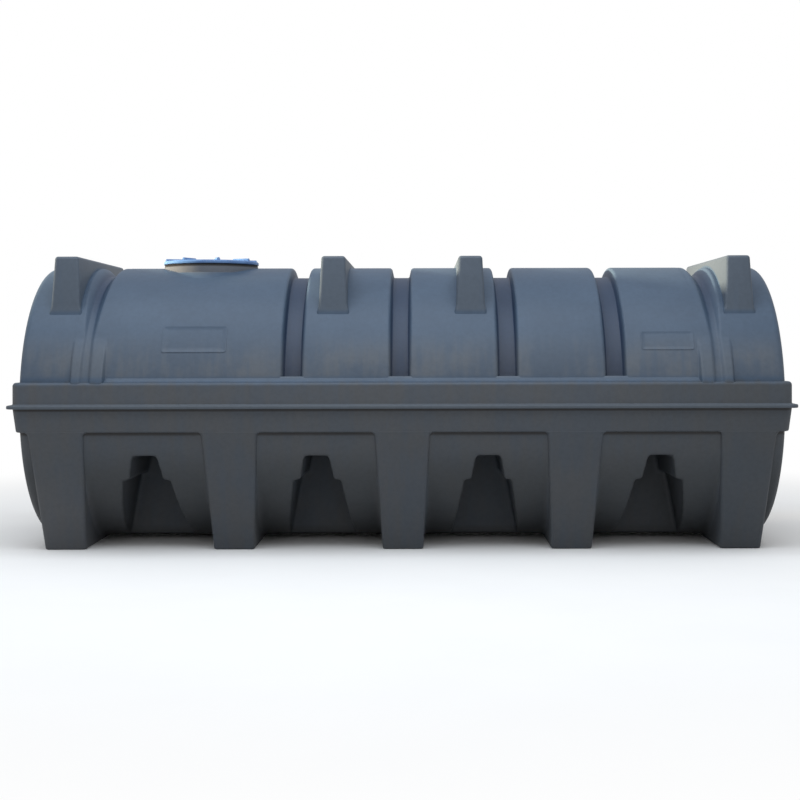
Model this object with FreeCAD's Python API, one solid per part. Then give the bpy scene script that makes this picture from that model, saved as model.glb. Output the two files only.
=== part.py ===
import FreeCAD, Part
import math
import os

# Horizontal moulded storage tank on five cross legs, in millimetres.
# X runs along the tank, -Y faces the viewer, +Z is up, and the origin is on the ground under the middle.

# Barrel
barrel_radius = 875.0
barrel_length = 4614.0
belly_clearance = 15.0
wall = 10.0
end_knuckle = 45.0

# End bands: a channel that is deepest at the crest, in a pilaster that stands out to the belt's side at its foot
channel_inset = 417.0
channel_width = 200.0
channel_margin = 6.0
channel_floor = 36.0
channel_depth = 56.0
channel_setback = 24.0
pilaster_sink = 60.0
pilaster_setback = 4.0

# Strap grooves, set out from the channels to leave a hatch band, three equal bands and a last one
hatch_band_span = 1227.0
last_band_span = 604.0
groove_width = 128.0
groove_depth = 65.0
groove_draft = 14.0
groove_lip = 14.0

# Belts above and below the parting flange
belt_end_stand = 36.0
belt_side_stand = 29.0
belt_corner = 60.0
belt_rise = 145.0
belt_drop = 155.0
belt_draft = 16.0
belt_lip = 16.0
flange_reach = 30.0
flange_thickness = 26.0

# Cross legs
outer_leg_inset = 227.0
leg_top_width = 340.0
leg_foot_width = 250.0
leg_foot_tuck = 238.0
leg_corner = 22.0

# Stepped niches in the belly between the legs
niche_top = 575.0
niche_step = 428.0
niche_top_width = 146.0
niche_neck_width = 202.0
niche_shoulder_width = 282.0
niche_mouth_width = 450.0
niche_back = 200.0

# Lifting lugs over the crest
outer_lug_inset = 235.0
second_lug_spacing = 236.0
third_lug_spacing = 217.0
lug_top_width = 148.0
lug_base_width = 182.0
lug_top_depth = 1270.0
lug_base_depth = 1350.0
lug_rise = 43.0
lug_edge = 18.0

# Hatch: a neck in a shouldered, flared collar, a seal on the shoulder and a screw lid with radial grips
hatch_spacing = 615.0
neck_diameter = 576.0
neck_wall = 14.0
neck_rise = 35.0
shoulder_diameter = 612.0
shoulder_rise = 10.5
collar_diameter = 905.0
collar_drop = 127.0
collar_shoulder_drop = 35.0
seal_diameter = 608.0
seal_clearance = 6.0
seal_thickness = 8.4
seal_gap = 0.3
lid_diameter = 620.0
lid_clearance = 10.0
lid_gap = 0.6
lid_top = 8.0
lid_chamfer = 7.0
lid_grip_length = 130.0
lid_grip_width = 24.0
lid_grip_height = 16.0
lid_grip_draft = 4.0
lid_grip_turn = 17.0

# Sizes that follow from the ones above
inner_radius = barrel_radius - wall
end_x = barrel_length / 2
axis_height = barrel_radius + belly_clearance
crest_height = axis_height + barrel_radius
belt_top = axis_height + belt_rise
belt_bottom = axis_height - belt_drop
flange_top = axis_height + flange_thickness / 2
flange_bottom = axis_height - flange_thickness / 2
belt_length = barrel_length + 2 * belt_end_stand
belt_width = 2 * (barrel_radius + belt_side_stand)
leg_top_depth = belt_width - 2 * belt_draft
leg_foot_depth = leg_top_depth - 2 * leg_foot_tuck
leg_pitch = (barrel_length - 2 * outer_leg_inset) / 4
leg_places = [(number - 2) * leg_pitch for number in range(5)]
channel_centre = end_x - channel_inset
channel_half = channel_width / 2
channel_place = channel_centre + channel_half - channel_margin - channel_depth - channel_floor / 2
groove_pitch = (2 * channel_centre - hatch_band_span - last_band_span) / 3
groove_places = [-channel_centre + hatch_band_span + number * groove_pitch for number in range(4)]
lip_reach = 2 * wall
groove_half = groove_width / 2 + lip_reach
hatch_x = -channel_centre + hatch_spacing
reach = barrel_length + belt_length
up = FreeCAD.Vector(0, 0, 1)

os.makedirs("parts", exist_ok=True)


def save(name, shape):
    solids = shape.Solids
    print(name, len(solids), round(shape.Volume / 1e6, 2), shape.isValid())
    if len(solids) == 1:
        shape = solids[0]
    shape.exportStep("parts/" + name + ".step")


def slab(x0, x1, y0, y1, z0, z1):
    return Part.makeBox(x1 - x0, y1 - y0, z1 - z0, FreeCAD.Vector(x0, y0, z0))


def cylinder_along(radius, x0=-reach, x1=reach, drop=0.0):
    start = FreeCAD.Vector(x0, 0, axis_height - drop)
    return Part.makeCylinder(radius, x1 - x0, start, FreeCAD.Vector(1, 0, 0))


def rounded_wire(corners):
    """A closed wire through corners (point, radius), with a tangent arc at each corner that has a radius."""
    starts = []
    ends = []
    for index, (point, radius) in enumerate(corners):
        before = corners[index - 1][0]
        after = corners[(index + 1) % len(corners)][0]
        inward = (before - point).normalize()
        outward = (after - point).normalize()
        half_turn = inward.getAngle(outward) / 2
        trim = radius / math.tan(half_turn)
        starts.append(point + inward * trim)
        ends.append(point + outward * trim)
    edges = []
    for index, (point, radius) in enumerate(corners):
        if radius > 0:
            bisector = (starts[index] + ends[index] - point * 2).normalize()
            span = (starts[index] - point).Length
            centre_distance = math.hypot(span, radius)
            middle = point + bisector * (centre_distance - radius)
            edges.append(Part.Arc(starts[index], middle, ends[index]).toShape())
        following = (index + 1) % len(corners)
        if (starts[following] - ends[index]).Length > 1e-6:
            edges.append(Part.makeLine(ends[index], starts[following]))
    return Part.Wire(edges)


def hoop(profile, above, drop=0.0):
    """Half a turn of a profile of (x, radius, corner radius) about the barrel axis or one dropped below it."""
    height = axis_height - drop
    corners = [(FreeCAD.Vector(x, -radius, height), corner) for x, radius, corner in profile]
    face = Part.Face(rounded_wire(corners))
    turn = -180 if above else 180
    return face.revolve(FreeCAD.Vector(0, 0, height), FreeCAD.Vector(1, 0, 0), turn)


def above_belt(shape):
    return shape.common(slab(-reach, reach, -reach, reach, belt_top, belt_top + reach))


def below_belt(shape):
    return shape.common(slab(-reach, reach, -reach, reach, belt_bottom - reach, belt_bottom))


def tapered_block(foot, top, z0, z1, place=0.0):
    """A block with flat sloping sides, from a foot (length, depth) at z0 to a top at z1."""
    block = Part.makeWedge(
        -foot[0] / 2, z0, -foot[1] / 2, -top[1] / 2, -top[0] / 2,
        foot[0] / 2, z1, foot[1] / 2, top[1] / 2, top[0] / 2)
    block.rotate(FreeCAD.Vector(0, 0, 0), FreeCAD.Vector(1, 0, 0), 90)
    block.translate(FreeCAD.Vector(place, 0, 0))
    return block


def rounded_rectangle(length, width, corner, height):
    signs = ((-1, -1), (1, -1), (1, 1), (-1, 1))
    corners = [(FreeCAD.Vector(sx * length / 2, sy * width / 2, height), corner) for sx, sy in signs]
    return rounded_wire(corners)


def belt_block(inset_low, inset_high, z0, z1):
    low = rounded_rectangle(belt_length - 2 * inset_low, belt_width - 2 * inset_low, belt_corner, z0)
    high = rounded_rectangle(belt_length - 2 * inset_high, belt_width - 2 * inset_high, belt_corner, z1)
    return Part.makeLoft([low, high], True, True)


def band_hoop(x0, x1):
    profile = [(x0, inner_radius, 0), (x1, inner_radius, 0), (x1, barrel_radius, 0), (x0, barrel_radius, 0)]
    return above_belt(hoop(profile, True))


def groove_inner(centre):
    """A groove's inner outline, from its left lip to its right one."""
    floor = groove_width / 2 - groove_draft + wall
    low = inner_radius - groove_depth
    return [(centre - groove_half, inner_radius, 0), (centre - floor, low, 0),
            (centre + floor, low, 0), (centre + groove_half, inner_radius, 0)]


def groove_hoop(centre):
    """A strap groove sunk in the barrel, with sloping sides, rounded lips and its wall on the inside."""
    mouth = groove_width / 2
    floor = mouth - groove_draft
    low = barrel_radius - groove_depth
    outer = [
        (centre - groove_half, barrel_radius, 0), (centre - mouth, barrel_radius, groove_lip),
        (centre - floor, low, 0), (centre + floor, low, 0),
        (centre + mouth, barrel_radius, groove_lip), (centre + groove_half, barrel_radius, 0)]
    return above_belt(hoop(outer + groove_inner(centre)[::-1], True))


def lowered_circle(sink, setback):
    """Drop and radius of the circle that lies sink below the crest and meets the belt's top inside its side."""
    crest = barrel_radius - sink
    foot = belt_width / 2 - setback
    drop = (foot ** 2 + belt_rise ** 2 - crest ** 2) / (2 * (crest - belt_rise))
    return drop, crest + drop


def channel_room(place, grow):
    """The room of a channel with sides at 45 degrees, about its lowered axis; grow takes in the wall around it."""
    drop, radius = lowered_circle(channel_depth, channel_setback)
    half = channel_floor / 2 + grow * math.tan(math.pi / 8)
    low = radius - grow
    flare = 2 * channel_depth
    return hoop([(place - half, low, 0), (place + half, low, 0),
                 (place + half + flare, low + flare, 0), (place - half - flare, low + flare, 0)], True, drop)


def end_band(side):
    """Pilaster that runs out into the barrel towards the crest, with the channel let into it."""
    drop, radius = lowered_circle(pilaster_sink, pilaster_setback)
    x0, x1 = side * channel_centre - channel_half, side * channel_centre + channel_half
    block = cylinder_along(barrel_radius, x0, x1).fuse(cylinder_along(radius, x0, x1, drop))
    hollow = cylinder_along(inner_radius, x0, x1).fuse(cylinder_along(radius - wall, x0 + wall, x1 - wall, drop))
    place = side * channel_place
    shell = block.cut(hollow.cut(channel_room(place, wall))).cut(channel_room(place, 0))
    return above_belt(shell).removeSplitter()


def end_cap(side, x0, above):
    """Rim strip, rounded knuckle and flat disc that close one end."""
    corners = [
        (x0, inner_radius, 0), (end_x - wall, inner_radius, end_knuckle - wall), (end_x - wall, 0, 0),
        (end_x, 0, 0), (end_x, barrel_radius, end_knuckle), (x0, barrel_radius, 0)]
    return hoop([(side * x, radius, corner) for x, radius, corner in corners], above)


def inside(grooves, above):
    """The space inside the wall on one side of the axis."""
    outline = [(-end_x + wall, 0, 0), (-end_x + wall, inner_radius, end_knuckle - wall)]
    outline += grooves
    outline += [(end_x - wall, inner_radius, end_knuckle - wall), (end_x - wall, 0, 0)]
    return hoop(outline, above)


def leg_block(place, inset, rise):
    """One cross leg, tapered both ways, inset by a wall or not and carried on above its top by rise."""
    run = belt_bottom
    spread_x = (leg_top_width - leg_foot_width) / run
    spread_y = (leg_top_depth - leg_foot_depth) / run
    top = run + rise
    foot = (leg_foot_width + spread_x * inset - 2 * inset, leg_foot_depth + spread_y * inset - 2 * inset)
    head = (leg_foot_width + spread_x * top - 2 * inset, leg_foot_depth + spread_y * top - 2 * inset)
    return tapered_block(foot, head, inset, top, place)


def niche(place, grow):
    """Stepped recess that widens downwards, cut in from one side; grow adds the wall around it."""
    low = -grow - wall
    slope = (niche_mouth_width - niche_shoulder_width) / 2 / niche_step
    half_widths = [
        (niche_mouth_width / 2 - slope * low, low), (niche_shoulder_width / 2, niche_step),
        (niche_neck_width / 2, niche_step), (niche_top_width / 2, niche_top)]
    right = []
    for index, (half, height) in enumerate(half_widths):
        lift = grow if index > 0 else 0
        right.append(FreeCAD.Vector(place + half + grow, niche_back - grow, height + lift))
    left = [FreeCAD.Vector(2 * place - point.x, point.y, point.z) for point in right]
    points = right + left[::-1]
    face = Part.Face(Part.makePolygon(points + points[:1]))
    back = face.extrude(FreeCAD.Vector(0, barrel_radius, 0))
    front = back.mirror(FreeCAD.Vector(0, 0, 0), FreeCAD.Vector(0, 1, 0))
    return [back, front]


def lug(place):
    """Hollow saddle across the crest, tapered to its top, open below where it stands on the barrel."""
    top = crest_height + lug_rise
    base = axis_height + math.sqrt(barrel_radius ** 2 - (lug_base_depth / 2) ** 2)
    outer = tapered_block((lug_base_width, lug_base_depth), (lug_top_width, lug_top_depth), base, top, place)
    upper_edges = [edge for edge in outer.Edges if edge.BoundBox.ZMax > base + 1]
    outer = outer.makeFillet(lug_edge, upper_edges)
    room = 2 * wall
    inner = tapered_block(
        (lug_base_width - room, lug_base_depth - room), (lug_top_width - room, lug_top_depth - room),
        base - wall, top - wall, place)
    return outer.cut(inner).cut(cylinder_along(barrel_radius))


def ring_at_hatch(outer, inner, low, high):
    base = FreeCAD.Vector(hatch_x, 0, low)
    ring = Part.makeCylinder(outer, high - low, base, up)
    return ring.cut(Part.makeCylinder(inner, high - low, base, up))


# Hoop bands: each starts where an end band or a groove's lip ends
band_edges = [-channel_centre + channel_half]
for place in groove_places:
    band_edges += [place - groove_half, place + groove_half]
band_edges.append(channel_centre - channel_half)

hatch_axis = FreeCAD.Vector(hatch_x, 0, axis_height)
shoulder_radius = shoulder_diameter / 2
hatch_hole = Part.makeCylinder(shoulder_radius, reach, hatch_axis, up)
save("hatch_band", band_hoop(band_edges[0], band_edges[1]).cut(hatch_hole))
for number in range(1, 5):
    save("barrel_band_%d" % (number + 1), band_hoop(band_edges[2 * number], band_edges[2 * number + 1]))
for number, place in enumerate(groove_places):
    save("strap_groove_%d" % (number + 1), groove_hoop(place))

# End bands, and the ends in an upper and a lower half
legs = []
for place in leg_places:
    block = leg_block(place, 0, 0)
    corner_edges = [edge for edge in block.Edges if edge.BoundBox.ZLength > belt_bottom / 2]
    legs.append(block.makeFillet(leg_corner, corner_edges))
leg_hollows = [leg_block(place, wall, 2 * wall) for place in leg_places]
for name, side in (("left", -1), ("right", 1)):
    save("end_channel_" + name, end_band(side))
    save("upper_end_" + name, above_belt(end_cap(side, channel_centre + channel_half, True)))
    outer_leg = legs[0] if side < 0 else legs[-1]
    save("lower_end_" + name, below_belt(end_cap(side, leg_places[-1], False)).cut(outer_leg))

# Belts and the flange at the parting line
grooves = []
for place in groove_places:
    grooves += groove_inner(place)
upper_inside = inside(grooves, True)
lower_inside = inside([], False)

upper_belt = belt_block(0, 0, flange_top, belt_top)
lip_edges = [edge for edge in upper_belt.Edges if edge.BoundBox.ZMin > belt_top - 1]
upper_belt = upper_belt.makeFillet(belt_lip, lip_edges)
save("upper_belt", upper_belt.cut(belt_block(wall, wall, flange_top, belt_top - wall)).cut(upper_inside))

flange_face = Part.Face(rounded_rectangle(
    belt_length + 2 * flange_reach, belt_width + 2 * flange_reach, belt_corner + flange_reach, flange_bottom))
flange = flange_face.extrude(up * flange_thickness)
save("parting_flange", flange.cut(belt_block(wall, wall, flange_bottom, flange_top)))

lower_belt = belt_block(belt_draft, 0, belt_bottom, flange_bottom)
lower_belt = lower_belt.cut(belt_block(belt_draft + wall, wall, belt_bottom + wall, flange_bottom))
save("lower_belt", lower_belt.cut(lower_inside).cut(leg_hollows))

# Cross legs: open troughs that stand on the ground and run under the barrel
inside_round = cylinder_along(inner_radius)
for number, (block, hollow) in enumerate(zip(legs, leg_hollows)):
    save("cross_leg_%d" % (number + 1), block.cut(hollow).cut(inside_round))

# Belly between the legs, and a stepped niche let into each side of it
outside_round = cylinder_along(barrel_radius)
for number in range(4):
    x0, x1 = leg_places[number], leg_places[number + 1]
    profile = [(x0, inner_radius, 0), (x1, inner_radius, 0), (x1, barrel_radius, 0), (x0, barrel_radius, 0)]
    belly = below_belt(hoop(profile, False)).cut(legs)
    middle = (x0 + x1) / 2
    pockets = niche(middle, wall)
    save("belly_bay_%d" % (number + 1), belly.cut(pockets))
    for name, pocket, hollow in zip(("back", "front"), pockets, niche(middle, 0)):
        save("niche_%s_%d" % (name, number + 1), pocket.common(outside_round).cut(hollow))

# Lugs over the crest
outer_lug = end_x - outer_lug_inset
lug_places = [-outer_lug, groove_places[0] + second_lug_spacing, groove_places[2] - third_lug_spacing, outer_lug]
for number, place in enumerate(lug_places):
    save("top_lug_%d" % (number + 1), lug(place))

# Hatch: a neck through the barrel, and a shouldered collar that flares to the barrel's front and back
neck_radius = neck_diameter / 2
neck_bore = neck_radius - neck_wall
neck_top = crest_height + neck_rise
save("hatch_neck", ring_at_hatch(neck_radius, neck_bore, axis_height, neck_top).cut(inside_round))

shoulder_top = crest_height + shoulder_rise
shoulder = ring_at_hatch(shoulder_radius, neck_radius, axis_height, shoulder_top).cut(inside_round)
collar_base = FreeCAD.Vector(hatch_x, 0, crest_height - collar_drop)
collar = Part.makeCone(collar_diameter / 2, shoulder_radius, collar_drop - collar_shoulder_drop, collar_base, up)
flare = collar.cut(hatch_hole).cut(outside_round)
save("hatch_collar", shoulder.fuse(flare).removeSplitter())

# Seal on the shoulder, under the lid's skirt
seal_low = shoulder_top + seal_gap
seal_high = seal_low + seal_thickness
save("lid_seal", ring_at_hatch(seal_diameter / 2, neck_radius + seal_clearance, seal_low, seal_high))

# Screw lid: a plate with radial grips over the neck, and the skirt that hangs from it
lid_radius = lid_diameter / 2
lid_under = neck_top + lid_gap
lid_high = lid_under + lid_top
lid = Part.makeCylinder(lid_radius, lid_top, FreeCAD.Vector(hatch_x, 0, lid_under), up)
rim_edges = [edge for edge in lid.Edges if edge.BoundBox.ZMin > lid_high - 1]
lid = lid.makeChamfer(lid_chamfer, rim_edges)
grip_top = (lid_grip_width - 2 * lid_grip_draft, lid_grip_length - 2 * lid_grip_draft)
grip_radius = lid_radius - lid_chamfer - lid_grip_length / 2
for number in range(8):
    grip = tapered_block((lid_grip_width, lid_grip_length), grip_top, lid_high, lid_high + lid_grip_height)
    grip.translate(FreeCAD.Vector(0, -grip_radius, 0))
    grip.rotate(FreeCAD.Vector(0, 0, 0), up, lid_grip_turn + 45 * number)
    grip.translate(FreeCAD.Vector(hatch_x, 0, 0))
    lid = lid.fuse(grip)
save("hatch_lid", lid.removeSplitter())
save("lid_skirt", ring_at_hatch(lid_radius, neck_radius + lid_clearance, seal_high + seal_gap, lid_under))
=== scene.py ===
# %% [markdown]
# # A moulded horizontal storage tank
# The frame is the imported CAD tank, in metres, with +Z up and its long side facing -Y. It could be dressed with
# materials alone, but a rotational moulding has no sharp edge anywhere, so this lesson keeps the frame fixed and
# models a softer skin over it, piece by piece, with the same sizes.

# %% Load the frame
import bpy
import math
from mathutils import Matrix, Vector


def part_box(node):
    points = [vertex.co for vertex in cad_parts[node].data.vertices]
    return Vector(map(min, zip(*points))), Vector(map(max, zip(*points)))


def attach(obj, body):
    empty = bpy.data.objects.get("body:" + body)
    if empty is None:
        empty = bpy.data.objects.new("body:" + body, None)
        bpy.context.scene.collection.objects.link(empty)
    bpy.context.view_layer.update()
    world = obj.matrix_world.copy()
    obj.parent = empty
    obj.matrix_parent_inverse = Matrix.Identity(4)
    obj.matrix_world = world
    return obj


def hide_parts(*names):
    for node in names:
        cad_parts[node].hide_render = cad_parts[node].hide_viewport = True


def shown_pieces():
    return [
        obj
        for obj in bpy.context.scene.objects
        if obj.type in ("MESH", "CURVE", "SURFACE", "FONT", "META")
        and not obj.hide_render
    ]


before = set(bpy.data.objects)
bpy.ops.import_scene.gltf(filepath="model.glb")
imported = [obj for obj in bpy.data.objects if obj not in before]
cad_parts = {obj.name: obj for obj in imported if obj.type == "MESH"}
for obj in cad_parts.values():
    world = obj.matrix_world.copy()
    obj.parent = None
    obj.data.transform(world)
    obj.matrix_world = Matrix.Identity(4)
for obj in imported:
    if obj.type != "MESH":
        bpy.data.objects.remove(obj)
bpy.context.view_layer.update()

# %% [markdown]
# ## Camera
# The photograph looks level and square on to the long side, from a little above the tank's middle. A camera could
# be tilted down to frame the tank, but then its legs would spread, so the camera looks level and the lens is shifted.
# The photograph leans by a hair, and the camera rolls with it.

# %% Camera
PICTURE = 800
SENSOR = 36.0
FAR_CLIP = 200.0
FOCAL_PIXELS = 1357.0
EYE = Vector((0.119, -9.008, 1.264))
LEVEL_POINT = (421.9, 343.8)
ROLL = math.radians(0.12)

scene = bpy.context.scene
camera_data = bpy.data.cameras.new("eye")
camera_data.sensor_width = SENSOR
camera_data.lens = FOCAL_PIXELS / PICTURE * SENSOR
camera_data.shift_x = (PICTURE / 2 - LEVEL_POINT[0]) / PICTURE
camera_data.shift_y = (LEVEL_POINT[1] - PICTURE / 2) / PICTURE
camera_data.clip_end = FAR_CLIP
camera = bpy.data.objects.new("eye", camera_data)
camera.location = EYE
camera.rotation_euler = (math.radians(90), ROLL, 0)
scene.collection.objects.link(camera)
scene.camera = camera
print("lens", round(camera_data.lens, 1), "mm")

# %% [markdown]
# ## Sizes
# The sizes come from the CAD nodes' boxes, so the skin follows the frame if the frame changes. They could be typed
# in again, but a size that is written twice soon differs.

# %% Sizes from the frame
band_low, band_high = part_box("hatch_band")
belt_low, belt_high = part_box("upper_belt")
flange_low, flange_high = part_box("parting_flange")
BELT_TOP = belt_high.z
FLANGE_TOP = flange_high.z
FLANGE_BOTTOM = flange_low.z
BELT_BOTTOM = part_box("lower_belt")[0].z
AXIS = (FLANGE_TOP + FLANGE_BOTTOM) / 2
CREST = band_high.z
RADIUS = CREST - AXIS
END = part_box("upper_end_right")[1].x
print("axis", round(AXIS, 4), "radius", round(RADIUS, 4), "end", round(END, 4))

# %% [markdown]
# ## Working by hand, in code
# Each piece starts as a primitive and is shaped in edit mode. Operators work on what is selected, so a few small
# helpers clear the selection, pick points or edges by their place, and hand the finished piece to its body.

# %% Helpers for selecting
def clear():
    if bpy.context.object and bpy.context.object.mode != "OBJECT":
        bpy.ops.object.mode_set(mode="OBJECT")
    bpy.ops.object.select_all(action="DESELECT")


def pick(piece, rule, kind="VERT"):
    """Selects and counts what passes the rule: a point's place, an edge's ends, or a face's middle and normal."""
    bpy.ops.object.mode_set(mode="EDIT")
    bpy.ops.mesh.select_mode(type=kind)
    bpy.ops.mesh.select_all(action="DESELECT")
    bpy.ops.object.mode_set(mode="OBJECT")
    mesh = piece.data
    count = 0
    if kind == "VERT":
        for point in mesh.vertices:
            point.select = rule(point.co)
            count += point.select
    elif kind == "EDGE":
        for edge in mesh.edges:
            start, end = (mesh.vertices[index].co for index in edge.vertices)
            edge.select = rule(start, end)
            count += edge.select
    else:
        for face in mesh.polygons:
            face.select = rule(face.center, face.normal)
            count += face.select
    bpy.ops.object.mode_set(mode="EDIT")
    return count


WELD = 0.00002


def settle(piece, name, body, stands_for=(), smooth=30):
    """Welds the piece, turns its normals out, smooths it, and hands it to its body in place of its CAD nodes."""
    bpy.ops.object.mode_set(mode="EDIT")
    bpy.ops.mesh.select_all(action="SELECT")
    bpy.ops.mesh.remove_doubles(threshold=WELD)
    bpy.ops.mesh.normals_make_consistent(inside=False)
    bpy.ops.object.mode_set(mode="OBJECT")
    bpy.ops.object.transform_apply(location=True, rotation=True, scale=True)
    bpy.ops.object.shade_smooth_by_angle(angle=math.radians(smooth))
    piece.name = name
    piece.data.name = name
    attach(piece, body)
    if stands_for:
        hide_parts(*stands_for)
    print(name, len(piece.data.polygons), "faces")
    return piece


# %% [markdown]
# ## Turned skins
# The barrel, its ends and its channels are all turned about a level axis, like work on a lathe. They could be cut
# from cylinders with booleans, but a profile that is drawn point by point, rounded at its corners and spun gives
# clean bands of faces that catch the light evenly.

# %% Draw a profile and spin it
def draw(points):
    """A line of extruded points from a plane that is merged to one point."""
    clear()
    bpy.ops.mesh.primitive_plane_add(size=0.01, location=(0, 0, 0))
    piece = bpy.context.object
    bpy.ops.object.mode_set(mode="EDIT")
    bpy.ops.mesh.select_mode(type="VERT")
    bpy.ops.mesh.select_all(action="SELECT")
    bpy.ops.mesh.merge(type="CENTER")
    bpy.ops.transform.translate(value=points[0])
    for start, end in zip(points, points[1:]):
        bpy.ops.mesh.extrude_region_move(TRANSFORM_OT_translate={"value": Vector(end) - Vector(start)})
    return piece


def extruded(outline, way):
    """Fills a drawn outline and extrudes it."""
    piece = draw(outline)
    bpy.ops.mesh.select_all(action="SELECT")
    bpy.ops.mesh.edge_face_add()
    bpy.ops.mesh.extrude_region_move(TRANSFORM_OT_translate={"value": way})
    return piece


CORNER_SLACK = 0.001


def soften(piece, corners, radius, segments=5):
    """Rounds the drawn line at the corners."""
    pick(piece, lambda place: any((place - Vector(corner)).length < CORNER_SLACK for corner in corners))
    bpy.ops.mesh.bevel(offset=radius, offset_type="OFFSET", segments=segments, affect="VERTICES")


def spin(piece, centre, axis, start, sweep, steps, close=True):
    """Turns the drawn line to its start angle and sweeps it round the axis; the operator counts clockwise."""
    if start:
        bpy.ops.mesh.select_all(action="SELECT")
        bpy.ops.mesh.spin(steps=1, angle=-start, center=centre, axis=axis, dupli=True)
        bpy.ops.mesh.select_all(action="INVERT")
        bpy.ops.mesh.delete(type="VERT")
    bpy.ops.mesh.select_all(action="SELECT")
    bpy.ops.mesh.spin(steps=steps, angle=-sweep, center=centre, axis=axis)
    bpy.ops.mesh.select_all(action="SELECT")
    bpy.ops.mesh.remove_doubles(threshold=WELD)
    if not close:
        bpy.ops.mesh.normals_make_consistent(inside=False)
        bpy.ops.object.mode_set(mode="OBJECT")
        return
    bpy.ops.mesh.select_mode(type="EDGE")
    bpy.ops.mesh.select_all(action="DESELECT")
    bpy.ops.mesh.select_non_manifold(extend=False, use_boundary=True, use_wire=False, use_multi_face=False,
                                     use_non_contiguous=False, use_verts=False)
    bpy.ops.mesh.fill_holes(sides=0)


print("drawing helpers ready")

# %% [markdown]
# ## Hooped barrel
# Four strap grooves part the upper barrel into a wide hatch band and four plain ones. One long profile, from channel
# to channel, holds them all: its lips are rounded wide and its groove floors tightly, as the plastic leaves the
# mould. It is drawn at the front of the barrel and spun over the crest to the back. Rings cut out of a cylinder would
# give the same grooves, but with lips too sharp for this plastic.

# %% Spin the hooped barrel
SIDE_DEPTH = 0.075
GROOVE_DEPTH = 0.065
GROOVE_MOUTH = 0.064
GROOVE_FLOOR = 0.050
LIP_ROUND = 0.016
FLOOR_ROUND = 0.008
ALONG = (1, 0, 0)
HALF_TURN_STEPS = 120
FOOT_OVERLAP = math.radians(0.8)
groove_boxes = [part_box("strap_groove_%d" % number) for number in range(1, 5)]
groove_places = [(low.x + high.x) / 2 for low, high in groove_boxes]
left_x = band_low.x
right_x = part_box("barrel_band_5")[1].x

profile = [(left_x, RADIUS - SIDE_DEPTH), (left_x, RADIUS)]
lips = []
floors = []
for place in groove_places:
    groove = [(place - GROOVE_MOUTH, RADIUS), (place - GROOVE_FLOOR, RADIUS - GROOVE_DEPTH),
              (place + GROOVE_FLOOR, RADIUS - GROOVE_DEPTH), (place + GROOVE_MOUTH, RADIUS)]
    profile += groove
    lips += [groove[0], groove[3]]
    floors += groove[1:3]
profile += [(right_x, RADIUS), (right_x, RADIUS - SIDE_DEPTH)]


def at_front(x, radius, drop=0.0):
    return (x, -radius, AXIS - drop)


hooped_barrel = draw([at_front(x, radius) for x, radius in profile])
soften(hooped_barrel, [at_front(*corner) for corner in lips], LIP_ROUND)
soften(hooped_barrel, [at_front(*corner) for corner in floors], FLOOR_ROUND, 3)
foot_angle = math.asin((BELT_TOP - AXIS) / RADIUS) - FOOT_OVERLAP
spin(hooped_barrel, (0, 0, AXIS), ALONG, -foot_angle, -(math.pi - 2 * foot_angle), HALF_TURN_STEPS)
settle(hooped_barrel, "hooped_barrel", "tank",
       ["hatch_band"] + ["barrel_band_%d" % number for number in range(2, 6)]
       + ["strap_groove_%d" % number for number in range(1, 5)])

# %% [markdown]
# ## End panels and lower ends
# Each end is a flat disc that turns into the barrel over a round knuckle. Above the belt it runs back to the end
# channel, and below it to the last leg. A bevelled cylinder would do for a whole end, but the two halves run back to
# different depths. They are the same kind of profile, so one function spins them.

# %% Spin the ends
KNUCKLE = 0.045
KNUCKLE_STEPS = 8


def turned_end(name, side, inner_x, above, stands_for):
    corners = [(inner_x, RADIUS - SIDE_DEPTH), (inner_x, RADIUS), (END, RADIUS), (END, 0.0)]
    line = [at_front(side * x, radius) for x, radius in corners]
    piece = draw(line)
    soften(piece, [line[2]], KNUCKLE, KNUCKLE_STEPS)
    turn = -math.pi if above else math.pi
    spin(piece, (0, 0, AXIS), ALONG, 0.0, turn, HALF_TURN_STEPS)
    return settle(piece, name, "tank", [stands_for])


panel_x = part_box("upper_end_right")[0].x
last_leg_x = sum(corner.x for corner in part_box("cross_leg_5")) / 2
for side, word in ((-1, "left"), (1, "right")):
    turned_end("end_panel_" + word, side, panel_x, True, "upper_end_" + word)
    turned_end("low_end_" + word, side, last_leg_x, False, "lower_end_" + word)

# %% [markdown]
# ## End bands
# Beside each end a pilaster stands flush with the belt at its foot and runs out into the barrel above. A channel is
# let into it, shallow at the foot and deepest at the crest. Both follow circles about axes lower than the barrel's,
# so no single spin makes the band. Booleans give the right block, but with knife edges. A fine patch is spun
# outside it, wrapped on to it like film and eased with a smooth modifier, which rounds every edge.

# %% Helpers for blocks
def combine(piece, tool, operation):
    """Joins or cuts the piece with a tool shape, which is used up."""
    clear()
    piece.select_set(True)
    bpy.context.view_layer.objects.active = piece
    modifier = piece.modifiers.new("combine", "BOOLEAN")
    modifier.operation = operation
    modifier.solver = "EXACT"
    modifier.object = tool
    bpy.ops.object.modifier_apply(modifier=modifier.name)
    bpy.data.objects.remove(tool)


def shape_with(piece, kind, **settings):
    """Adds one modifier with its settings and applies it."""
    clear()
    piece.select_set(True)
    bpy.context.view_layer.objects.active = piece
    modifier = piece.modifiers.new("shape", kind)
    for name, setting in settings.items():
        setattr(modifier, name, setting)
    bpy.ops.object.modifier_apply(modifier=modifier.name)


ROUND_SIDES = 256


def lying_cylinder(radius, x0, x1, drop=0.0):
    clear()
    bpy.ops.mesh.primitive_cylinder_add(vertices=ROUND_SIDES, radius=radius, depth=x1 - x0,
                                        location=((x0 + x1) / 2, 0, AXIS - drop), rotation=(0, math.pi / 2, 0))
    bpy.ops.object.transform_apply(location=True, rotation=True, scale=True)
    return bpy.context.object


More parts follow.
